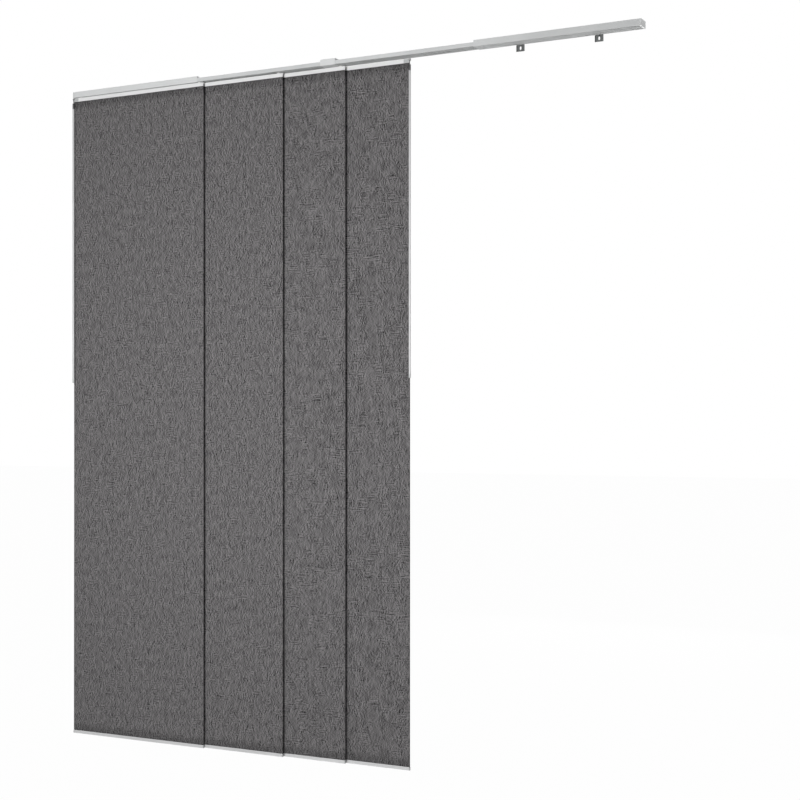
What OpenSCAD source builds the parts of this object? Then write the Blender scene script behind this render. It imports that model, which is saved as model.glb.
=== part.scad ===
// Panel track blind: four fabric panels that slide past one another on a telescoping four-lane track.
// X runs along the track, Y points into the wall and Z points up. The origin lies on the wall plane,
// half way along the drawn-out track, at the height of the slots in the wall brackets.

/* [Track] */
// Length of each outer section, without its end cap
outer_len = 566.5; // [450:0.5:650]
// Free length of the left inner channels between outer section and joiner
left_reach = 517.5; // [300:0.5:520]
// Free length of the right inner channels between joiner and outer section
right_reach = 524; // [300:0.5:530]
// Length of inner channel that stays inside each outer section
nest_len = 34; // [20:1:40]
// Distance between neighbouring lanes
lane_pitch = 12; // [11:0.5:16]
// Height of a lane inside the outer section
lane_h = 14.1; // [12:0.1:18]
// Front and back wall of the outer section
outer_wall = 1.6; // [1:0.1:2.5]
// Rib between two lanes
rib_t = 1.2; // [0.8:0.1:1.6]
// Lips under each lane
lip_t = 1.3; // [0.8:0.1:2]
// Web above the lanes
web_t = 1.1; // [0.8:0.1:2]
// Height of the groove above the web
groove_h = 3.7; // [3:0.1:6]
// Lips over the groove
groove_lip_t = 1.3; // [0.8:0.1:2]
// Mouth of the groove
groove_open = 20; // [12:1:26]
// Sheet of the inner channels
inner_wall = 0.6; // [0.4:0.1:0.8]

/* [Joiner and end caps] */
// Length of the joiner between the two sets of inner channels
joiner_len = 59; // [40:1:100]
// How far the joiner stands proud of the outer section
joiner_proud = 0.6; // [0.3:0.1:1.5]
// Diameter of the joiner's set screws
set_screw_d = 3; // [2:0.5:4]
// Thickness of the end caps
end_cap_t = 6; // [4:0.5:8]
// Rounding of an end cap's corner at the wall
end_cap_r = 5; // [2:0.5:5]
// Depth of an end cap's tongue in the groove
end_tongue = 14; // [8:1:30]

/* [Wall brackets] */
// Sheet of the brackets
plate_t = 1.5; // [1:0.1:2]
// Width of a bracket
bracket_w = 28; // [20:1:40]
// Distance of the outer bracket from the end of the track
bracket_end = 155; // [60:1:180]
// Distance between the two brackets of one outer section
bracket_space = 271; // [120:1:330]
// Width of the upright slot for the wall screw
wall_slot_w = 6; // [4.5:0.5:8]
// Length of the upright slot
wall_slot_len = 11; // [9:0.5:16]
// Height of the track's underside over the middle of the slot
track_rise = 11; // [9:0.5:16]
// Plate left below the slot
slot_margin = 5.5; // [3:0.5:10]
// Depth of the stiffening flanges beside the slot
flange_d = 2.5; // [1.5:0.1:3]
// Diameter of a clamp screw
clamp_screw_d = 4; // [3:0.5:5]
// Head of a clamp screw
clamp_head_d = 8; // [6:0.5:10]
// Height of that head
clamp_head_h = 2.2; // [1.5:0.1:3]
// Length of a clamp plate along the track
clamp_len = 24; // [14:1:40]

/* [Panels] */
// Width of a panel
panel_w = 597; // [500:1:650]
// Drop from the bottom of the head rail to the bottom of the bottom rail
panel_drop = 2394; // [900:1:2600]
// Strip of the second panel that shows beside the first
strip_2 = 330; // [40:1:400]
// Strip of the third panel that shows beside the second
strip_3 = 246; // [40:1:400]
// Strip of the fourth panel that shows beside the third
strip_4 = 245; // [40:1:400]
// Thickness of the fabric
fabric_t = 0.7; // [0.4:0.1:1]
// Thickness of the hook tape that carries the fabric
tape_t = 1.1; // [0.8:0.1:1.4]

/* [Head rails] */
// Gap between the track and a head rail
hang_gap = 2; // [1:0.5:10]
// Thickness of a head rail
rail_t = 7; // [6.5:0.1:8]
// Walls of a head rail
rail_wall = 0.9; // [0.7:0.1:1.1]
// Height of the hollow that takes the glider feet
rail_hollow_h = 5.5; // [4.5:0.1:8]
// Top lips and floor of that hollow
rail_lip_t = 1; // [0.8:0.1:1.5]
// Front lip that hides the hook tape
fascia_t = 1.2; // [0.8:0.1:1.4]
// Height of the front lip below the hollow
fascia_h = 6; // [4:0.5:20]
// Length of a plain end cap
rail_cap_len = 8; // [2:0.5:12]
// Length of an end cap that carries a wand
wand_cap_len = 23; // [12:1:30]

/* [Gliders] */
// Length of a glider's head in its lane
head_len = 15; // [8:0.5:15]
// Height of a glider's head
head_h = 4; // [2:0.1:6]
// Width of a glider's neck
neck_w = 3.4; // [2.5:0.1:3.6]
// Length of a glider's neck along the track
neck_len = 8; // [5:0.5:10]
// Length of a glider's foot in the head rail
foot_len = 10; // [8:0.5:10]
// Height of a glider's foot
foot_h = 3; // [2:0.1:4]
// Distance of a glider from the end of its head rail
glider_inset = 12; // [12:0.5:40]

/* [Bottom rails] */
// Height of a bottom rail
bar_h = 11; // [9:0.5:20]
// Thickness of a bottom rail
bar_t = 6; // [5:0.1:7.5]
// Depth of the slot that takes the fabric
bar_slot_depth = 6; // [4:0.1:6.4]
// Walls around the bottom rail's hollow
bar_wall = 1.1; // [0.8:0.1:1.4]
// Thickness of a bottom rail's end cap
bar_cap_t = 1.5; // [1:0.1:3]

/* [Wands] */
// Diameter of a wand
wand_d = 7.5; // [6:0.1:9]
// Length of a wand with its tip
wand_len = 1039; // [300:1:1500]
// Drop from the pivot to the top of the ferrule
hook_drop = 17; // [10:1:40]
// Length of the ferrule on top of a wand
ferrule_len = 20; // [12:1:40]
// Wire of the hook
wire_d = 2.2; // [1.2:0.1:2.4]
// Pin that the hook's ring hangs on
pivot_d = 2.6; // [2:0.1:3.2]
// Length of the wand's tip
tip_len = 14; // [8:1:40]

/* [Hidden] */
$fn = 48;
panels = 4;
pieces = [
    "head_rail", "gliders", "left_cap", "right_cap",
    "hook_tape", "fabric", "bottom_rail", "bottom_caps"
];

// Clearances and small details
overrun = 1;
nest_gap = 0.15;
ride_gap = 0.2;
head_gap = 0.3;
neck_gap = 0.4;
slot_step = 0.5;
stand_gap = 0.5;
fit_gap = 0.1;
foot_gap = 0.15;
screw_gap = 0.05;
hole_gap = 0.2;
clamp_grip = 5;
clamp_gap = 0.7;
arm_margin = 7;
flange_gap = 1.5;
set_screw_sink = 0.4;
hex_share = 0.58;
hex_depth = 1.5;
cap_plug = 6;
tape_edge = 0.5;
fabric_gap = 0.5;
bar_gap = 0.15;
line_h = 0.8;
line_depth = 0.3;
ring_gap = 0.3;
pin_head_t = 0.8;
pin_head_rim = 0.9;
wand_gap = 0.8;
cloth_gap = 0.9;
left_wand_in = 3.5;
right_wand_out = 1.5;
lug_t = 2.5;
shank_depth = 24;
plug_depth = 12;
plug_d = 4.4;
tip_rim = 0.2;
tip_r = 2;

// Track
lane_w = lane_pitch - rib_t;
outer_d = panels * lane_pitch - rib_t + 2 * outer_wall;
outer_h = lip_t + lane_h + web_t + groove_h + groove_lip_t;
groove_w = outer_d - 2 * outer_wall;
section_len = outer_len + end_cap_t;
track_len = 2 * section_len + left_reach + joiner_len + right_reach;
left_x = -track_len / 2;
right_x = track_len / 2;
left_open_x = left_x + section_len;
joiner_x = left_open_x + left_reach;
right_open_x = right_x - section_len;
track_z = track_rise;
track_top = track_z + outer_h;
back_y = -plate_t - stand_gap;
front_y = back_y - outer_d;
mid_y = (front_y + back_y) / 2;
inner_w = lane_w - 2 * nest_gap;
inner_h = lane_h - 2 * nest_gap;
inner_z = track_z + lip_t + nest_gap;
inner_slot = neck_w + 2 * neck_gap;
outer_slot = inner_slot + 2 * slot_step;
joiner_h = outer_h + joiner_proud;

// Head rails and gliders
rail_top = track_z - hang_gap;
rail_box_h = rail_hollow_h + 2 * rail_lip_t;
rail_floor = rail_top - rail_box_h;
rail_bottom = rail_floor - fascia_h;
hollow_w = rail_t - 2 * rail_wall;
head_w = inner_w - 2 * inner_wall - 2 * head_gap;
head_z = inner_z + inner_wall + ride_gap;
foot_w = hollow_w - 2 * foot_gap;
foot_top = rail_top - rail_lip_t;

// Fabric and bottom rails, with places across the panel counted from the middle of its lane
tape_front = -rail_t / 2 + fascia_t;
fabric_front = tape_front + tape_t;
fabric_mid = fabric_front + fabric_t / 2;
fabric_top = rail_floor - fabric_gap;
bar_z = rail_bottom - panel_drop;
fabric_bottom = bar_z + bar_h - bar_slot_depth;
bar_hollow_h = bar_h - bar_slot_depth - 2 * bar_wall;

// Wands
wand_r = wand_d / 2;
pivot_z = rail_top - rail_box_h / 2;
ring_r = pivot_d / 2 + ring_gap + wire_d / 2;
pin_front = wire_d / 2 + ring_gap + pin_head_t;
wand_top = pivot_z - hook_drop - ferrule_len;
left_wand_x = left_x + left_wand_in;
left_wand_y = lane_y(0) - rail_t / 2 - wand_gap - wand_r;
right_wand_x = panel_x(panels - 1) + panel_w + right_wand_out;
right_wand_y = lane_y(panels - 1) + fabric_front - cloth_gap - wand_r;
lug_front = right_wand_y + wire_d / 2 + ring_gap;

function lane_y(i) = back_y - outer_wall - lane_w / 2 - (panels - 1 - i) * lane_pitch;
function panel_x(i) = left_x + [0, strip_2, strip_2 + strip_3, strip_2 + strip_3 + strip_4][i];
function cap_left(i) = i == 0 ? wand_cap_len : rail_cap_len;
function cap_right(i) = i == panels - 1 ? wand_cap_len : rail_cap_len;
function rail_x(i) = panel_x(i) + cap_left(i);
function rail_len(i) = panel_w - cap_left(i) - cap_right(i);
function bracket_x(k) =
    [left_x + bracket_end, left_x + bracket_end + bracket_space,
     right_x - bracket_end - bracket_space, right_x - bracket_end][k];

silver = [0.80, 0.81, 0.82];
channel_grey = [0.76, 0.77, 0.78];
cap_grey = [0.72, 0.73, 0.74];
steel = [0.55, 0.56, 0.57];
rail_white = [0.93, 0.93, 0.93];
nylon = [0.88, 0.88, 0.86];
charcoal = [0.38, 0.38, 0.39];
tape_black = [0.12, 0.12, 0.12];
ferrule_grey = [0.30, 0.30, 0.31];

// Carries an outline drawn in Y and Z along X
module along_x(x, len) {
    translate([x, 0, 0])
        rotate([90, 0, 90])
            linear_extrude(len)
                children();
}

// Rectangle in Y and Z between two corners
module rect(y0, z0, y1, z1) {
    translate([y0, z0])
        square([y1 - y0, z1 - z0]);
}

// The lanes and their slots, cut alike out of the outer sections and the joiner
module lane_hollows() {
    for (i = [0:panels - 1]) {
        y = lane_y(i);
        rect(y - lane_w / 2, track_z + lip_t, y + lane_w / 2, track_z + lip_t + lane_h);
        rect(y - outer_slot / 2, track_z - overrun, y + outer_slot / 2, track_z + lip_t + overrun);
    }
}

module outer_profile() {
    difference() {
        rect(front_y, track_z, back_y, track_top);
        lane_hollows();
        rect(mid_y - groove_w / 2, track_top - groove_lip_t - groove_h,
             mid_y + groove_w / 2, track_top - groove_lip_t);
        rect(mid_y - groove_open / 2, track_top - groove_lip_t - overrun,
             mid_y + groove_open / 2, track_top + overrun);
    }
}

module outer_track(x) {
    color(silver)
        along_x(x, outer_len)
            outer_profile();
}

// One folded channel in each lane
module inner_channels(x, len) {
    color(channel_grey)
        along_x(x, len)
            for (i = [0:panels - 1]) {
                y = lane_y(i);
                difference() {
                    rect(y - inner_w / 2, inner_z, y + inner_w / 2, inner_z + inner_h);
                    rect(y - inner_w / 2 + inner_wall, inner_z + inner_wall,
                         y + inner_w / 2 - inner_wall, inner_z + inner_h - inner_wall);
                    rect(y - inner_slot / 2, inner_z - overrun,
                         y + inner_slot / 2, inner_z + inner_wall + overrun);
                }
            }
}

// Puts a child over every lane at both halves of the joiner
module set_screw_places() {
    for (i = [0:panels - 1], half = [0, 1])
        translate([joiner_x + joiner_len / 4 + half * joiner_len / 2, lane_y(i), 0])
            children();
}

module track_joiner() {
    color(silver)
        difference() {
            along_x(joiner_x, joiner_len)
                difference() {
                    rect(front_y - joiner_proud, track_z, back_y + joiner_proud / 2, track_z + joiner_h);
                    lane_hollows();
                }
            set_screw_places()
                translate([0, 0, track_z + lip_t + lane_h - overrun])
                    cylinder(d = set_screw_d + 2 * screw_gap, h = joiner_h);
        }
}

module joiner_set_screws() {
    top = track_z + joiner_h - set_screw_sink;
    color(steel)
        set_screw_places()
            difference() {
                translate([0, 0, inner_z + inner_h])
                    cylinder(d = set_screw_d, h = top - inner_z - inner_h);
                translate([0, 0, top - hex_depth])
                    cylinder(d = set_screw_d * hex_share, h = hex_depth + overrun, $fn = 6);
            }
}

// End cap that faces +X, with its inner face at x = 0
module end_cap() {
    color(cap_grey) {
        translate([0, 0, track_z])
            linear_extrude(outer_h)
                difference() {
                    translate([0, front_y])
                        square([end_cap_t, outer_d]);
                    difference() {
                        translate([end_cap_t - end_cap_r, back_y - end_cap_r])
                            square(end_cap_r + overrun);
                        translate([end_cap_t - end_cap_r, back_y - end_cap_r])
                            circle(r = end_cap_r);
                    }
                }
        along_x(-end_tongue, end_tongue)
            rect(mid_y - groove_w / 2 + fit_gap, track_top - groove_lip_t - groove_h + fit_gap,
                 mid_y + groove_w / 2 - fit_gap, track_top - groove_lip_t - fit_gap);
    }
}

// Folded bracket: a wall plate with an upright slot, an arm over the track and two short flanges
module wall_bracket(k) {
    arm_y = mid_y - clamp_screw_d / 2 - arm_margin;
    slot_run = wall_slot_len - wall_slot_w;
    plate_bottom = -wall_slot_len / 2 - slot_margin;
    x = bracket_x(k) - bracket_w / 2;
    color(steel)
        difference() {
            union() {
                along_x(x, bracket_w) {
                    rect(-plate_t, plate_bottom, 0, track_top);
                    rect(arm_y, track_top, -plate_t, track_top + plate_t);
                    intersection() {
                        translate([-plate_t, track_top])
                            circle(r = plate_t);
                        rect(-plate_t, track_top, 0, track_top + plate_t);
                    }
                }
                for (side = [x, x + bracket_w - plate_t])
                    translate([side, -plate_t - flange_d, plate_bottom])
                        cube([plate_t, flange_d, track_z - flange_gap - plate_bottom]);
            }
            for (end = [-1, 1])
                translate([bracket_x(k), overrun, end * slot_run / 2])
                    rotate([90, 0, 0])
                        cylinder(d = wall_slot_w, h = plate_t + 2 * overrun);
            translate([bracket_x(k) - wall_slot_w / 2, -plate_t - overrun, -slot_run / 2])
                cube([wall_slot_w, plate_t + 2 * overrun, slot_run]);
            translate([bracket_x(k), mid_y, track_top - overrun])
                cylinder(d = clamp_screw_d + 2 * hole_gap, h = plate_t + 2 * overrun);
        }
}

// Plates in the groove that the brackets pull up against its lips
module clamp_plates(ks) {
    w = groove_open + 2 * clamp_grip;
    t = groove_h - clamp_gap;
    color(steel)
        for (k = ks)
            difference() {
                translate([bracket_x(k) - clamp_len / 2, mid_y - w / 2, track_top - groove_lip_t - t])
                    cube([clamp_len, w, t]);
                translate([bracket_x(k), mid_y, track_top - groove_lip_t - t - overrun])
                    cylinder(d = clamp_screw_d + 2 * screw_gap, h = t + 2 * overrun);
            }
}

module clamp_screws(ks) {
    t = groove_h - clamp_gap;
    arm_top = track_top + plate_t;
    color(steel)
        for (k = ks)
            translate([bracket_x(k), mid_y, 0])
                difference() {
                    union() {
                        translate([0, 0, track_top - groove_lip_t - t])
                            cylinder(d = clamp_screw_d, h = arm_top - track_top + groove_lip_t + t);
                        translate([0, 0, arm_top])
                            cylinder(d = clamp_head_d, h = clamp_head_h);
                    }
                    translate([0, 0, arm_top + clamp_head_h - hex_depth])
                        cylinder(d = clamp_head_d / 2, h = hex_depth + overrun, $fn = 6);
                }
}

// Outline of a head rail around the middle of its lane
module rail_outline(i) {
    y = lane_y(i);
    rect(y - rail_t / 2, rail_floor, y + rail_t / 2, rail_top);
    rect(y - rail_t / 2, rail_bottom, y - rail_t / 2 + fascia_t, rail_floor + overrun);
}

module head_rail(i) {
    y = lane_y(i);
    mouth = neck_w + 2 * foot_gap;
    color(rail_white)
        along_x(rail_x(i), rail_len(i))
            difference() {
                rail_outline(i);
                rect(y - hollow_w / 2, rail_floor + rail_lip_t, y + hollow_w / 2, rail_top - rail_lip_t);
                rect(y - mouth / 2, rail_top - rail_lip_t - overrun, y + mouth / 2, rail_top + overrun);
            }
}

// Two moulded gliders: a head in the lane, a neck through both slots and a foot in the head rail
module gliders(i) {
    y = lane_y(i);
    color(nylon)
        for (x = [rail_x(i) + glider_inset, rail_x(i) + rail_len(i) - glider_inset]) {
            along_x(x - head_len / 2, head_len)
                rect(y - head_w / 2, head_z, y + head_w / 2, head_z + head_h);
            along_x(x - neck_len / 2, neck_len)
                rect(y - neck_w / 2, foot_top - foot_h, y + neck_w / 2, head_z + head_h);
            along_x(x - foot_len / 2, foot_len)
                rect(y - foot_w / 2, foot_top - foot_h, y + foot_w / 2, foot_top);
        }
}

// End cap of a head rail, with its face at x and its plug towards the rail
module rail_cap(i, x, len, plug_x) {
    y = lane_y(i);
    color(len > rail_cap_len ? cap_grey : rail_white) {
        along_x(x, len)
            rail_outline(i);
        along_x(plug_x, cap_plug)
            rect(y - hollow_w / 2 + fit_gap, rail_floor + rail_lip_t + fit_gap,
                 y + hollow_w / 2 - fit_gap, rail_top - rail_lip_t - fit_gap);
    }
}

// Headed pin along Y that a wand's ring hangs on, from its root at y0
module pivot_pin(x, y, y0) {
    color(cap_grey)
        translate([x, y0, pivot_z])
            rotate([90, 0, 0]) {
                cylinder(d = pivot_d, h = y0 - y + pin_front);
                translate([0, 0, y0 - y + pin_front - pin_head_t])
                    cylinder(d = pivot_d + 2 * pin_head_rim, h = pin_head_t);
            }
}

module left_cap(i) {
    rail_cap(i, panel_x(i), cap_left(i), rail_x(i));
    if (i == 0)
        pivot_pin(left_wand_x, left_wand_y, lane_y(i) - rail_t / 2);
}

module right_cap(i) {
    end_x = panel_x(i) + panel_w;
    rail_cap(i, end_x - cap_right(i), cap_right(i), end_x - cap_right(i) - cap_plug);
    if (i == panels - 1) {
        color(cap_grey)
            translate([end_x, lug_front, rail_floor])
                cube([right_wand_x - end_x + ring_r, lug_t, rail_box_h]);
        pivot_pin(right_wand_x, right_wand_y, lug_front);
    }
}

module hook_tape(i) {
    y = lane_y(i);
    color(tape_black)
        along_x(rail_x(i), rail_len(i))
            rect(y + tape_front, rail_bottom + tape_edge, y + fabric_front, rail_floor - tape_edge);
}

module fabric(i) {
    y = lane_y(i);
    color(charcoal)
        along_x(panel_x(i), panel_w)
            rect(y + fabric_front, fabric_bottom, y + fabric_front + fabric_t, fabric_top);
}

// Outline of a bottom rail with the slot that takes the fabric
module bar_outline(i) {
    y = lane_y(i) + fabric_mid;
    slot = fabric_t + 2 * bar_gap;
    difference() {
        rect(y - bar_t / 2, bar_z, y + bar_t / 2, bar_z + bar_h);
        rect(y - slot / 2, bar_z + bar_h - bar_slot_depth, y + slot / 2, bar_z + bar_h + overrun);
    }
}

module bottom_rail(i) {
    y = lane_y(i) + fabric_mid;
    color(silver)
        along_x(panel_x(i) + bar_cap_t, panel_w - 2 * bar_cap_t)
            difference() {
                bar_outline(i);
                rect(y - bar_t / 2 + bar_wall, bar_z + bar_wall,
                     y + bar_t / 2 - bar_wall, bar_z + bar_wall + bar_hollow_h);
                rect(y - bar_t / 2 - overrun, bar_z + bar_h / 2 - line_h / 2,
                     y - bar_t / 2 + line_depth, bar_z + bar_h / 2 + line_h / 2);
            }
}

module bottom_caps(i) {
    y = lane_y(i) + fabric_mid;
    far_x = panel_x(i) + panel_w - bar_cap_t;
    color(cap_grey) {
        for (x = [panel_x(i), far_x])
            along_x(x, bar_cap_t)
                bar_outline(i);
        for (x = [panel_x(i) + bar_cap_t, far_x - cap_plug])
            along_x(x, cap_plug)
                rect(y - bar_t / 2 + bar_wall + fit_gap, bar_z + bar_wall + fit_gap,
                     y + bar_t / 2 - bar_wall - fit_gap, bar_z + bar_wall + bar_hollow_h - fit_gap);
    }
}

// Wire ring around the pivot pin, with a straight shank down into the ferrule
module wand_hook(x, y) {
    color(ferrule_grey)
        translate([x, y, pivot_z]) {
            rotate([90, 0, 0])
                rotate_extrude()
                    translate([ring_r, 0])
                        circle(d = wire_d);
            translate([0, 0, -hook_drop - shank_depth])
                cylinder(d = wire_d, h = hook_drop + shank_depth - ring_r);
        }
}

// Moulded ferrule on the end of the shaft, with a plug in its bore and a hole for the hook's shank
module wand_ferrule(x, y) {
    color(ferrule_grey)
        translate([x, y, wand_top])
            difference() {
                union() {
                    cylinder(d = wand_d, h = ferrule_len);
                    translate([0, 0, -plug_depth])
                        cylinder(d = plug_d, h = plug_depth + overrun);
                }
                translate([0, 0, -plug_depth - overrun])
                    cylinder(d = wire_d + 2 * screw_gap, h = plug_depth + ferrule_len + 2 * overrun);
            }
}

module wand_shaft(x, y) {
    color(silver)
        translate([x, y, wand_top - wand_len + tip_len])
            difference() {
                cylinder(d = wand_d, h = wand_len - tip_len);
                translate([0, 0, wand_len - tip_len - plug_depth - fit_gap])
                    cylinder(d = plug_d + 2 * fit_gap, h = plug_depth + fit_gap + overrun);
            }
}

// Rounded tip below the shaft
module wand_tip(x, y) {
    r = wand_r + tip_rim;
    color(cap_grey)
        translate([x, y, wand_top - wand_len])
            rotate_extrude() {
                translate([0, tip_r])
                    square([r, tip_len - tip_r]);
                square([r - tip_r, tip_r + overrun]);
                translate([r - tip_r, tip_r])
                    intersection() {
                        circle(r = tip_r);
                        translate([0, -tip_r])
                            square(tip_r);
                    }
            }
}

outer_track(left_x + end_cap_t);  // left_outer_track
outer_track(right_open_x);  // right_outer_track
inner_channels(left_open_x - nest_len, nest_len + left_reach + joiner_len / 2);  // left_inner_channels
inner_channels(joiner_x + joiner_len / 2, joiner_len / 2 + right_reach + nest_len);  // right_inner_channels
track_joiner();
joiner_set_screws();
translate([left_x + end_cap_t, 0, 0]) mirror([1, 0, 0]) end_cap();  // left_end_cap
translate([right_x - end_cap_t, 0, 0]) end_cap();  // right_end_cap
for (k = [0:3])
    wall_bracket(k);
clamp_plates([0, 1]);  // left_clamp_plates
clamp_plates([2, 3]);  // right_clamp_plates
clamp_screws([0, 1]);  // left_clamp_screws
clamp_screws([2, 3]);  // right_clamp_screws
for (i = [0:panels - 1]) {
    head_rail(i);
    gliders(i);
    left_cap(i);
    right_cap(i);
    hook_tape(i);
    fabric(i);
    bottom_rail(i);
    bottom_caps(i);
}
wand_hook(left_wand_x, left_wand_y);  // left_wand_hook
wand_ferrule(left_wand_x, left_wand_y);  // left_wand_ferrule
wand_shaft(left_wand_x, left_wand_y);  // left_wand_shaft
wand_tip(left_wand_x, left_wand_y);  // left_wand_tip
wand_hook(right_wand_x, right_wand_y);  // right_wand_hook
wand_ferrule(right_wand_x, right_wand_y);  // right_wand_ferrule
wand_shaft(right_wand_x, right_wand_y);  // right_wand_shaft
wand_tip(right_wand_x, right_wand_y);  // right_wand_tip
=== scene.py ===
import math
import bmesh
import bpy
from mathutils import Matrix, Vector


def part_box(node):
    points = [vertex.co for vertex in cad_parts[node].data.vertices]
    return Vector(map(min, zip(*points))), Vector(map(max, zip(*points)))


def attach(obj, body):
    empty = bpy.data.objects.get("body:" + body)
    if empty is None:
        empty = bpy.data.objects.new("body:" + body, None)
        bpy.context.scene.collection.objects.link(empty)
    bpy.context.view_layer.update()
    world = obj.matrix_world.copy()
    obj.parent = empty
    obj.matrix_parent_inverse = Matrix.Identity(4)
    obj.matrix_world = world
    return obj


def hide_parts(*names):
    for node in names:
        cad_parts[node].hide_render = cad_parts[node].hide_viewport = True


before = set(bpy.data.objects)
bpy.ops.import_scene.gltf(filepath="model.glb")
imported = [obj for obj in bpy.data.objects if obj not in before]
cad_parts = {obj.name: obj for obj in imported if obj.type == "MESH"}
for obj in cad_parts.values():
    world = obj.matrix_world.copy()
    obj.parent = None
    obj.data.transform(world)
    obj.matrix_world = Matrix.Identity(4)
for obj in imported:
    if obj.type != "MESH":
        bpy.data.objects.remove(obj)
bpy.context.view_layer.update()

# Outer track sections and joiner: four-lane aluminium extrusions, cut to length and satin anodised.
# The sections hang from the wall brackets, and the joiner holds the inner channels with set screws.
# The die leaves fine lines along them, and their undersides are darkened as painted shade.


def new_finish(name):
    material = bpy.data.materials.new(name)
    material.use_nodes = True
    tree = material.node_tree
    return material, tree, tree.nodes["Principled BSDF"]


def put(tree, kind, **sockets):
    node = tree.nodes.new("ShaderNode" + kind)
    for socket, value in sockets.items():
        node.inputs[socket.replace("_", " ")].default_value = value
    return node


def stretched_noise(tree, stretch, detail, roughness=0.55, shift=(0, 0, 0)):
    place = put(tree, "TexCoord")
    mapping = put(tree, "Mapping", Scale=stretch, Location=[a * b for a, b in zip(shift, stretch)])
    noise = put(tree, "TexNoise", Scale=1.0, Detail=detail, Roughness=roughness)
    tree.links.new(place.outputs["Object"], mapping.inputs["Vector"])
    tree.links.new(mapping.outputs["Vector"], noise.inputs["Vector"])
    return noise.outputs["Fac"]


def ramp(tree, source, dark, light, low=0.3, high=0.7):
    between = put(tree, "ValToRGB")
    between.color_ramp.elements[0].position = low
    between.color_ramp.elements[1].position = high
    between.color_ramp.elements[0].color = (*dark, 1)
    between.color_ramp.elements[1].color = (*light, 1)
    tree.links.new(source, between.inputs["Fac"])
    return between.outputs["Color"]


def feed(tree, socket, value):
    if isinstance(value, (int, float)):
        socket.default_value = value
    else:
        tree.links.new(value, socket)


def mixed(tree, first, second, share):
    mix = put(tree, "Mix")
    for socket, value in zip((mix.inputs[2], mix.inputs[3], mix.inputs[0]), (first, second, share)):
        feed(tree, socket, value)
    return mix.outputs[0]


def computed(tree, operation, first, second):
    step = put(tree, "Math")
    step.operation = operation
    feed(tree, step.inputs[0], first)
    feed(tree, step.inputs[1], second)
    return step.outputs["Value"]


def spread_value(tree, source, low, high, start=0.3, end=0.7):
    span = put(tree, "MapRange", From_Min=start, From_Max=end, To_Min=low, To_Max=high)
    tree.links.new(source, span.inputs["Value"])
    return span.outputs["Result"]


def relief(tree, shader, source, strength, depth):
    bump = put(tree, "Bump", Strength=strength, Distance=depth)
    tree.links.new(source, bump.inputs["Height"])
    tree.links.new(bump.outputs["Normal"], shader.inputs["Normal"])


def dress(material, *names):
    for name in names:
        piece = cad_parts[name]
        piece.data.materials.clear()
        piece.data.materials.append(material)


def ease_edges(width, *names):
    for name in names:
        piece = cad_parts[name]
        weld = piece.modifiers.new("joined", "WELD")
        weld.merge_threshold = 1e-6
        bevel = piece.modifiers.new("eased edges", "BEVEL")
        bevel.width = width
        bevel.segments = 2
        bevel.limit_method = "ANGLE"
        bevel.angle_limit = math.radians(40)


def drawn_metal(name, dark, light, metallic, rough, along):
    material, tree, shader = new_finish(name)
    lines = stretched_noise(tree, along, detail=4.0, roughness=0.6)
    clouds = stretched_noise(tree, (6.0, 6.0, 6.0), detail=3.0)
    shade = mixed(tree, lines, clouds, share=0.5)
    tree.links.new(ramp(tree, shade, dark, light, low=0.35, high=0.65), shader.inputs["Base Color"])
    uneven = 0.06
    tree.links.new(spread_value(tree, lines, rough - uneven, rough + uneven), shader.inputs["Roughness"])
    relief(tree, shader, lines, strength=0.12, depth=0.0001)
    shader.inputs["Metallic"].default_value = metallic
    shader.inputs["Specular IOR Level"].default_value = 0.3
    return material


def scaled(tree, colour, factor):
    scale = put(tree, "VectorMath")
    scale.operation = "SCALE"
    tree.links.new(colour, scale.inputs[0])
    tree.links.new(factor, scale.inputs["Scale"])
    return scale.outputs["Vector"]


# Darkens the faces that point down: painted shade on the undersides.
def painted_underside_shade(material, share):
    tree = material.node_tree
    base = tree.nodes["Principled BSDF"].inputs["Base Color"]
    facing = put(tree, "SeparateXYZ")
    tree.links.new(put(tree, "TexCoord").outputs["Normal"], facing.inputs["Vector"])
    underside_shade = spread_value(tree, facing.outputs["Z"], share, 1.0, start=-0.9, end=-0.5)
    tree.links.new(scaled(tree, base.links[0].from_socket, underside_shade), base)


extruded_lines = (4, 1800, 1800)
fine_edge = 0.0003
satin_anodised = drawn_metal(
    "satin_anodised", (0.65, 0.66, 0.66), (0.73, 0.74, 0.74), metallic=0.06, rough=0.72, along=extruded_lines
)
# The right section gets a darker copy of the satin anodising, painted shade for the weaker light at that end
# of the track.
shaded_anodised = drawn_metal(
    "shaded_anodised", (0.59, 0.60, 0.60), (0.67, 0.68, 0.68), metallic=0.06, rough=0.76, along=extruded_lines
)
# Painted shade on the undersides of the track sections and joiner.
painted_underside_shade(satin_anodised, share=0.7)
painted_underside_shade(shaded_anodised, share=0.8)
dress(satin_anodised, "left_outer_track", "track_joiner")
dress(shaded_anodised, "right_outer_track")
ease_edges(fine_edge, "left_outer_track", "right_outer_track", "track_joiner")

# Inner channels: four folded channels of thin aluminium strip on either side of the joiner.
# They slide in the lanes of the outer sections, so their faces carry long rubbing marks,
# while their undersides are darkened more strongly as painted shade.
rubbed_strip = drawn_metal(
    "rubbed_strip", (0.55, 0.56, 0.56), (0.65, 0.66, 0.66), metallic=0.08, rough=0.66, along=(2.5, 1100, 1100)
)
painted_underside_shade(rubbed_strip, share=0.42)
dress(rubbed_strip, "left_inner_channels", "right_inner_channels")

# Joiner set screws: black-oxide steel grub screws with a hexagon recess, two over each lane.
# They are turned down on the channels' tops through tapped holes in the joiner.
black_oxide = drawn_metal(
    "black_oxide", (0.10, 0.10, 0.105), (0.16, 0.16, 0.165), metallic=0.7, rough=0.45, along=(900, 900, 900)
)
dress(black_oxide, "joiner_set_screws")

# Track end caps: moulded pale grey plastic plates with a tongue that is pushed into the track's top groove.
# The mould leaves a fine matt grain.


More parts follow.
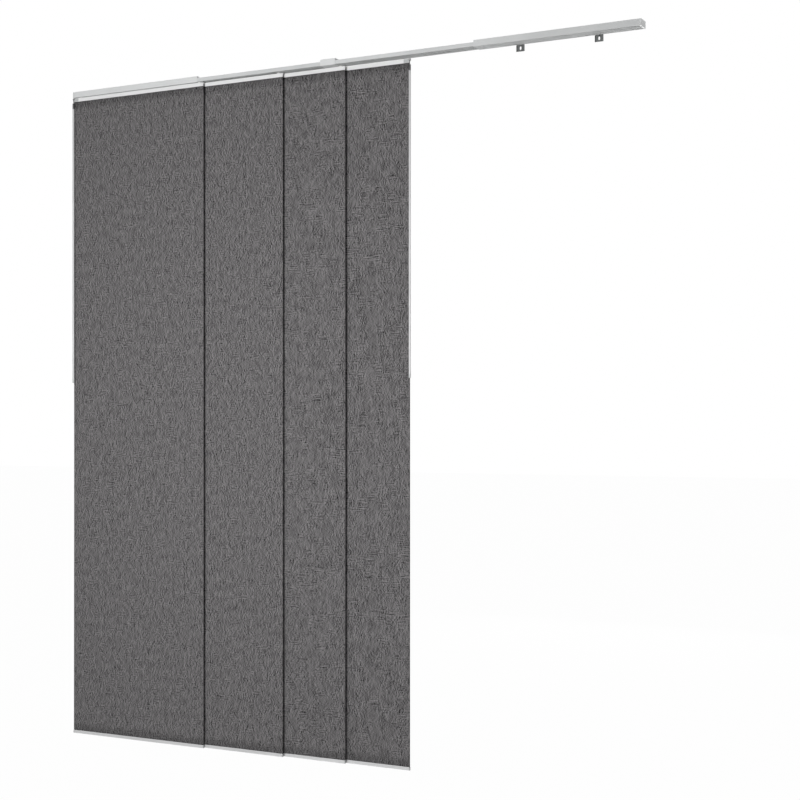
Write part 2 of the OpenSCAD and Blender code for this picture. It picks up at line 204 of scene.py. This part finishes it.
def moulded_plastic(name, dark, light, rough, grain):
    material, tree, shader = new_finish(name)
    grains = stretched_noise(tree, (grain, grain, grain), detail=2.0)
    flow = stretched_noise(tree, (25.0, 25.0, 25.0), detail=2.0)
    tree.links.new(ramp(tree, flow, dark, light), shader.inputs["Base Color"])
    uneven = 0.07
    tree.links.new(spread_value(tree, grains, rough - uneven, rough + uneven), shader.inputs["Roughness"])
    relief(tree, shader, grains, strength=0.2, depth=0.0001)
    shader.inputs["Specular IOR Level"].default_value = 0.4
    return material


mould_grain = 1600.0
cap_edge = 0.0005
pale_plastic = moulded_plastic(
    "pale_plastic", (0.62, 0.63, 0.63), (0.69, 0.70, 0.70), rough=0.5, grain=mould_grain
)
dress(pale_plastic, "left_end_cap", "right_end_cap")
ease_edges(cap_edge, "left_end_cap", "right_end_cap")

# Wall brackets and their clamp plates and screws: pressed from zinc-plated steel strip.
# Each plate is screwed to the wall through its upright slot, and its arm is clamped in the track's groove.
brackets = [f"wall_bracket_{k}" for k in (1, 2, 3, 4)]
# The brackets' dark grey is partly the zinc plate's own tone and partly painted shade for the shadow under
# the track.
shaded_zinc_plate = drawn_metal(
    "shaded_zinc_plate", (0.075, 0.08, 0.08), (0.145, 0.15, 0.15), metallic=0.55, rough=0.42, along=(260, 260, 60)
)
dress(shaded_zinc_plate, *brackets)
ease_edges(fine_edge, *brackets)
bright_steel = drawn_metal(
    "bright_steel", (0.42, 0.43, 0.44), (0.55, 0.56, 0.57), metallic=0.8, rough=0.35, along=(500, 500, 500)
)
dress(bright_steel, "left_clamp_plates", "right_clamp_plates", "left_clamp_screws", "right_clamp_screws")

# Head rails: thin aluminium extrusions, lacquered white, one over each panel.
# A front lip hides the tape that the fabric hangs on. The lacquer has a faint orange peel.
panels = (1, 2, 3, 4)


def of_each_panel(piece):
    return [f"panel_{i}_{piece}" for i in panels]


white_lacquer, tree, shader = new_finish("white_lacquer")
peel = stretched_noise(tree, (420.0, 900.0, 900.0), detail=2.0)
film = stretched_noise(tree, (5.0, 60.0, 60.0), detail=3.0)
paint = ramp(tree, film, (0.78, 0.78, 0.78), (0.84, 0.84, 0.84))
tree.links.new(paint, shader.inputs["Base Color"])
tree.links.new(spread_value(tree, peel, low=0.28, high=0.4), shader.inputs["Roughness"])
relief(tree, shader, peel, strength=0.1, depth=0.0001)
shader.inputs["Coat Weight"].default_value = 0.2
dress(white_lacquer, *of_each_panel("head_rail"))
ease_edges(fine_edge, *of_each_panel("head_rail"))

# Head rail caps: plastic mouldings that plug the ends of the rails, white on the plain ends.
# The two that carry a wand are longer, grey, and have a headed pin for the wand's ring.
white_plastic = moulded_plastic(
    "white_plastic", (0.74, 0.74, 0.74), (0.80, 0.80, 0.80), rough=0.45, grain=mould_grain
)
grey_plastic = moulded_plastic(
    "grey_plastic", (0.46, 0.47, 0.47), (0.53, 0.54, 0.54), rough=0.5, grain=mould_grain
)
wand_caps = ["panel_1_left_cap", "panel_4_right_cap"]
plain_caps = [f"panel_{i}_left_cap" for i in (2, 3, 4)] + [f"panel_{i}_right_cap" for i in (1, 2, 3)]
dress(white_plastic, *plain_caps)
dress(grey_plastic, *wand_caps)
ease_edges(fine_edge, *plain_caps, *wand_caps)

# Gliders: injection-moulded nylon, two to a panel. The head rides in a lane of the track,
# the neck goes down through both slots and the foot is held in the head rail.
nylon = moulded_plastic("nylon", (0.72, 0.72, 0.70), (0.80, 0.80, 0.78), rough=0.4, grain=1200.0)
shader = nylon.node_tree.nodes["Principled BSDF"]
shader.inputs["Subsurface Weight"].default_value = 0.15
shader.inputs["Subsurface Radius"].default_value = (0.002, 0.002, 0.002)
dress(nylon, *of_each_panel("gliders"))
ease_edges(fine_edge, *of_each_panel("gliders"))

# Hook tape: woven black nylon tape with a pile of stiff hooks, glued behind each head rail's front lip.
# The pile shows as a dense pattern of small points.
hook_pile, tree, shader = new_finish("hook_pile")
place = put(tree, "TexCoord")
hooks = put(tree, "TexVoronoi", Scale=1100.0)
tree.links.new(place.outputs["Object"], hooks.inputs["Vector"])
points = hooks.outputs["Distance"]
pile = ramp(tree, points, (0.035, 0.035, 0.037), (0.008, 0.008, 0.009), low=0.1, high=0.6)
tree.links.new(pile, shader.inputs["Base Color"])
relief(tree, shader, points, strength=0.6, depth=0.0004)
shader.inputs["Roughness"].default_value = 0.75
dress(hook_pile, *of_each_panel("hook_tape"))

# Fabric panels: stiffened linen-look cloth, cut to width and double at the hems, darker in a narrow band
# along the side edges, with painted shade along the top under the head rail that is repeated along the
# bottom.
# Each hangs by a sewn tape from the hook tape behind its head rail, and its lower edge is held in the
# bottom rail's slot. Thick and thin yarns give it upright streaks and flecks, with crossing ones in patches.
hem = 0.036
cloth_low, cloth_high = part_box("panel_1_fabric")
hem_share = hem / (cloth_high[2] - cloth_low[2])
slub_cloth, tree, shader = new_finish("slub_cloth")


def paired_yarns(tree, stretch, step):
    thick = stretched_noise(tree, stretch, detail=1.0, roughness=0.5)
    thin = stretched_noise(tree, stretch, detail=1.0, roughness=0.5, shift=step)
    return computed(tree, "SUBTRACT", thick, thin)


def on_vectors(tree, operation, first, second=None):
    step = put(tree, "VectorMath")
    step.operation = operation
    tree.links.new(first, step.inputs[0])
    if isinstance(second, tuple):
        step.inputs[1].default_value = second
    elif second is not None:
        tree.links.new(second, step.inputs[1])
    return step.outputs["Vector"]


def by_chance(tree, place):
    chance = put(tree, "TexWhiteNoise")
    tree.links.new(place, chance.inputs["Vector"])
    return chance.outputs["Value"]


# Each yarn is a column of dashes of chance shade, and starts at a chance height of up to nine dashes.
def dashes(tree, counts, beside):
    most_late = 9.0
    grid = on_vectors(tree, "MULTIPLY", put(tree, "TexCoord").outputs["Object"], counts)
    grid = on_vectors(tree, "ADD", grid, (beside, 0.0, 0.0))
    column = on_vectors(tree, "FLOOR", on_vectors(tree, "MULTIPLY", grid, (1.0, 1.0, 0.0)))
    start = put(tree, "CombineXYZ")
    tree.links.new(computed(tree, "MULTIPLY", by_chance(tree, column), most_late), start.inputs["Z"])
    cell = on_vectors(tree, "FLOOR", on_vectors(tree, "ADD", grid, start.outputs["Vector"]))
    return by_chance(tree, cell)


def thick_and_thin(tree, counts):
    return computed(tree, "SUBTRACT", dashes(tree, counts, beside=0.0), dashes(tree, counts, beside=1.0))


pick_step = 0.0035
flecks = thick_and_thin(tree, counts=(265.0, 80.0, 330.0))
slubs = thick_and_thin(tree, counts=(245.0, 80.0, 130.0))
weft_slubs = paired_yarns(tree, stretch=(38.0, 260.0, 330.0), step=(0, 0, pick_step))
fine_yarns = stretched_noise(tree, (1500.0, 260.0, 45.0), detail=2.0, roughness=0.5)
clouds = stretched_noise(tree, (60.0, 260.0, 40.0), detail=1.0, roughness=0.5)
patches = stretched_noise(tree, (26.0, 60.0, 36.0), detail=1.0)
crossed = spread_value(tree, patches, low=0.0, high=0.6, start=0.48, end=0.64)
contrast = spread_value(tree, patches, low=0.25, high=0.6, start=0.38, end=0.58)
warp_streaks = computed(tree, "MULTIPLY", mixed(tree, flecks, slubs, share=0.5), contrast)
streaks = mixed(tree, warp_streaks, weft_slubs, crossed)
ground = mixed(tree, clouds, fine_yarns, share=0.45)
yarns = computed(tree, "ADD", streaks, mixed(tree, ground, 0.5, share=0.4))
colour = ramp(tree, yarns, (0.004, 0.0038, 0.0039), (0.266, 0.2559, 0.26), low=0.2, high=0.8)

# A narrow darker band along each side edge of the cloth.
edge_band_share = 0.003
edge_band_loss = 0.3
painted_end_shade = 0.72
uv = put(tree, "UVMap")
uv.uv_map = "cloth"
across = put(tree, "SeparateXYZ")
tree.links.new(uv.outputs["UV"], across.inputs["Vector"])
from_side = computed(tree, "PINGPONG", across.outputs["X"], 0.5)
from_end = computed(tree, "PINGPONG", across.outputs["Y"], 0.5)
edge_band = computed(tree, "LESS_THAN", from_side, edge_band_share)
# Painted shade along the top of the cloth under the head rail; the same darkening is repeated along the
# bottom.
end_shade = spread_value(tree, from_end, painted_end_shade, 1.0, start=0.6 * hem_share, end=1.1 * hem_share)
end_shade_and_edge_band = computed(tree, "SUBTRACT", end_shade, computed(tree, "MULTIPLY", edge_band, edge_band_loss))
tree.links.new(scaled(tree, colour, end_shade_and_edge_band), shader.inputs["Base Color"])

thread_scale = 330.0
place = put(tree, "TexCoord")
warp = put(tree, "TexWave", Scale=thread_scale)
warp.bands_direction = "X"
weft = put(tree, "TexWave", Scale=thread_scale)
weft.bands_direction = "Z"
over_under = put(tree, "TexChecker", Scale=1050.0)
for pattern in (warp, weft, over_under):
    tree.links.new(place.outputs["Object"], pattern.inputs["Vector"])
weave = mixed(tree, warp.outputs["Fac"], weft.outputs["Fac"], over_under.outputs["Fac"])
relief(tree, shader, mixed(tree, weave, ground, share=0.5), strength=0.45, depth=0.0003)
shader.inputs["Roughness"].default_value = 0.9
shader.inputs["Specular IOR Level"].default_value = 0.2
shader.inputs["Sheen Weight"].default_value = 0.1
shader.inputs["Sheen Roughness"].default_value = 0.5
thread = moulded_plastic("thread", (0.10, 0.10, 0.10), (0.16, 0.16, 0.16), rough=0.8, grain=2500.0)


def placed(name, shape, material):
    mesh = bpy.data.meshes.new(name)
    shape.to_mesh(mesh)
    shape.free()
    mesh.materials.append(material)
    piece = bpy.data.objects.new(name, mesh)
    bpy.context.scene.collection.objects.link(piece)
    return piece


def hung_cloth(name, low, high, columns, rows, thickness):
    cloth = bmesh.new()
    cloth.loops.layers.uv.new("cloth")
    bmesh.ops.create_grid(cloth, x_segments=columns, y_segments=rows, size=0.5, calc_uvs=True)
    bmesh.ops.scale(cloth, vec=(high.x - low.x, high.z - low.z, 1), verts=cloth.verts)
    bmesh.ops.rotate(cloth, matrix=Matrix.Rotation(math.radians(90), 3, "X"), verts=cloth.verts)
    bmesh.ops.translate(cloth, vec=(low + high) / 2, verts=cloth.verts)
    piece = placed(name, cloth, slub_cloth)
    piece.data.shade_smooth()
    body = piece.modifiers.new("cloth thickness", "SOLIDIFY")
    body.thickness = thickness
    body.offset = 0
    return piece


cloth_thickness = 0.0007
wave_height = 0.0007
waves_across = 1.1
wave_lean = 2.0
panel_phase = 0.37
edge_curl = 0.0012
curl_reach = 0.03
flap_thickness = 0.0006
flap_gap = 0.00005
flap_inset = 0.001
top_fold = 0.0005
bar_gap = 0.001
bottom_hem = hem - 0.006
seam_from_fold = 0.003
tape_seam = 0.0065
first_stitch = 0.0065
stitch_size = (0.0016, 0.0002, 0.00025)
stitch_pitch = 0.004
stitch_count = 147
for i in panels:
    low, high = (Vector(corner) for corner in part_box(f"panel_{i}_fabric"))
    size = high - low
    panel = hung_cloth(f"panel_{i}_cloth", low, high, columns=72, rows=160, thickness=cloth_thickness)
    for point in panel.data.vertices:
        u = (point.co.x - low.x) / size.x
        v = (point.co.z - low.z) / size.z
        slack = math.sin(math.pi * v) ** 2
        wave = math.sin(2 * math.pi * (waves_across * u + panel_phase * i) + wave_lean * v)
        edge = max(0.0, 1 - min(u, 1 - u) * size.x / curl_reach)
        point.co.y += slack * (wave_height * wave + edge_curl * edge ** 2)

    bar_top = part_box(f"panel_{i}_bottom_rail")[1][2]
    back = high.y + flap_gap
    behind = back + flap_thickness
    turned = (
        ("top", high.z - hem, high.z - top_fold),
        ("bottom", bar_top + bar_gap, bar_top + bottom_hem),
    )
    flaps = []
    for end, flap_bottom, flap_top in turned:
        corner_low = Vector((low.x + flap_inset, back, flap_bottom))
        corner_high = Vector((high.x - flap_inset, behind, flap_top))
        flaps.append(hung_cloth(
            f"panel_{i}_{end}_hem", corner_low, corner_high, columns=48, rows=4, thickness=flap_thickness
        ))

    top_seam = high.z - hem + seam_from_fold
    bottom_seam = bar_top + bottom_hem - seam_from_fold
    seams = (
        (top_seam, behind), (top_seam, low.y),
        (high.z - tape_seam, behind),
        (bottom_seam, behind), (bottom_seam, low.y),
    )
    stitches = bmesh.new()
    for z, y in seams:
        middle = Matrix.Translation((low.x + first_stitch, y, z))
        shape = Matrix.Diagonal((*stitch_size, 1))
        bmesh.ops.create_uvsphere(stitches, u_segments=6, v_segments=4, radius=1, matrix=middle @ shape)
    seam = placed(f"panel_{i}_stitches", stitches, thread)
    seam.data.shade_smooth()
    sewn = seam.modifiers.new("row of stitches", "ARRAY")
    sewn.count = stitch_count
    sewn.use_relative_offset = False
    sewn.use_constant_offset = True
    sewn.constant_offset_displace = (stitch_pitch, 0, 0)

    for piece in (panel, seam, *flaps):
        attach(piece, f"panel_{i}")
    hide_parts(f"panel_{i}_fabric")

# Bottom rails and their caps: slotted aluminium extrusions that weight the fabric, satin anodised.
# A groove runs along the front, and a thin grey plastic cap plugs either end.
satin_bar = drawn_metal(
    "satin_bar", (0.57, 0.57, 0.575), (0.65, 0.65, 0.655), metallic=0.3, rough=0.42, along=extruded_lines
)
dress(satin_bar, *of_each_panel("bottom_rail"))
dress(grey_plastic, *of_each_panel("bottom_caps"))
ease_edges(fine_edge, *of_each_panel("bottom_rail"))

# Wands: drawn aluminium rods with a moulded dark ferrule on top and a plastic tip below.
# A bent steel wire hook is set into the ferrule, and its ring hangs loose on the pin of the rail's cap.
ferrule_edge = 0.0004
drawn_rod = drawn_metal(
    "drawn_rod", (0.43, 0.43, 0.435), (0.51, 0.51, 0.515), metallic=0.3, rough=0.45, along=(1500, 1500, 4)
)
dress(drawn_rod, "left_wand_shaft", "right_wand_shaft")
dark_wire = drawn_metal(
    "dark_wire", (0.09, 0.09, 0.092), (0.14, 0.14, 0.142), metallic=0.7, rough=0.4, along=(700, 700, 700)
)
dress(dark_wire, "left_wand_hook", "right_wand_hook")
dress(grey_plastic, "left_wand_tip", "right_wand_tip")
dark_plastic = moulded_plastic(
    "dark_plastic", (0.055, 0.055, 0.056), (0.085, 0.085, 0.086), rough=0.5, grain=mould_grain
)
dress(dark_plastic, "left_wand_ferrule", "right_wand_ferrule")
ease_edges(ferrule_edge, "left_wand_ferrule", "right_wand_ferrule")

# Floor and light: a plain pale studio floor a hand's breadth below the panels, a large soft lamp in front
# at half height and a weaker one behind, one on the right and one low behind the free end of the track.
# Only the camera and reflections see the white surround in full.


def seen_directly(tree):
    path = put(tree, "LightPath")
    glossy = computed(tree, "MAXIMUM", path.outputs["Is Camera Ray"], path.outputs["Is Glossy Ray"])
    return computed(tree, "MAXIMUM", glossy, path.outputs["Is Transmission Ray"])


world = bpy.data.worlds.new("studio")
world.use_nodes = True
bpy.context.scene.world = world
tree = world.node_tree
dim = tree.nodes["Background"]
dim.inputs["Color"].default_value = (0.96, 0.98, 1.0, 1)
dim.inputs["Strength"].default_value = 0.08
white = put(tree, "Background", Color=(1, 1, 1, 1), Strength=1.0)
choice = put(tree, "MixShader")
tree.links.new(seen_directly(tree), choice.inputs["Fac"])
tree.links.new(dim.outputs["Background"], choice.inputs[1])
tree.links.new(white.outputs["Background"], choice.inputs[2])
tree.links.new(choice.outputs["Shader"], tree.nodes["World Output"].inputs["Surface"])

floor_reach = 30
floor_height = -2.47
white_share = 0.985
pale_floor, tree, shader = new_finish("pale_floor")
shader.inputs["Base Color"].default_value = (0.5, 0.5, 0.5, 1)
shader.inputs["Roughness"].default_value = 0.9
glow = put(tree, "Emission", Color=(1, 1, 1, 1), Strength=1.0)
blend = put(tree, "MixShader")
tree.links.new(computed(tree, "MULTIPLY", seen_directly(tree), white_share), blend.inputs["Fac"])
tree.links.new(shader.outputs["BSDF"], blend.inputs[1])
tree.links.new(glow.outputs["Emission"], blend.inputs[2])
tree.links.new(blend.outputs["Shader"], tree.nodes["Material Output"].inputs["Surface"])
ground_plane = bmesh.new()
bmesh.ops.create_grid(ground_plane, x_segments=1, y_segments=1, size=floor_reach)
bmesh.ops.translate(ground_plane, vec=(0, 0, floor_height), verts=ground_plane.verts)
floor = placed("floor", ground_plane, pale_floor)


def soft_lamp(name, place, aim, width, power):
    lamp = bpy.data.lights.new(name, "AREA")
    lamp.size = width
    lamp.energy = power
    holder = bpy.data.objects.new(name, lamp)
    holder.location = place
    holder.rotation_euler = (Vector(aim) - Vector(place)).to_track_quat("-Z", "Y").to_euler()
    bpy.context.scene.collection.objects.link(holder)


soft_lamp("key", place=(-0.30, -3.25, -0.92), aim=(-0.30, 0, -0.92), width=1.8, power=97)
soft_lamp("side", place=(7.0, -1.0, 0.4), aim=(0.8, 0, -0.4), width=2.0, power=100)
soft_lamp("back", place=(3.4, 1.6, -2.2), aim=(1.0, 0, 0), width=1.5, power=54)
soft_lamp("fill", place=(-0.3, 4.5, -0.9), aim=(-0.3, 0, -0.9), width=2.5, power=90)

# Camera: level, a little below half the drop, turned to look at the blind from its right.
# The frame is shifted up a little, as in the photograph.
lens = bpy.data.cameras.new("camera")
lens.sensor_width = 36
lens.lens = 67.68
lens.shift_x = 0.00125
lens.shift_y = 0.03023
lens.clip_end = 100
camera = bpy.data.objects.new("camera", lens)
camera.location = (2.6277, -4.5316, -1.2272)
camera.rotation_euler = (math.radians(90), 0, math.radians(27.706))
bpy.context.scene.collection.objects.link(camera)
bpy.context.scene.camera = camera
bpy.context.scene.view_settings.view_transform = "Standard"
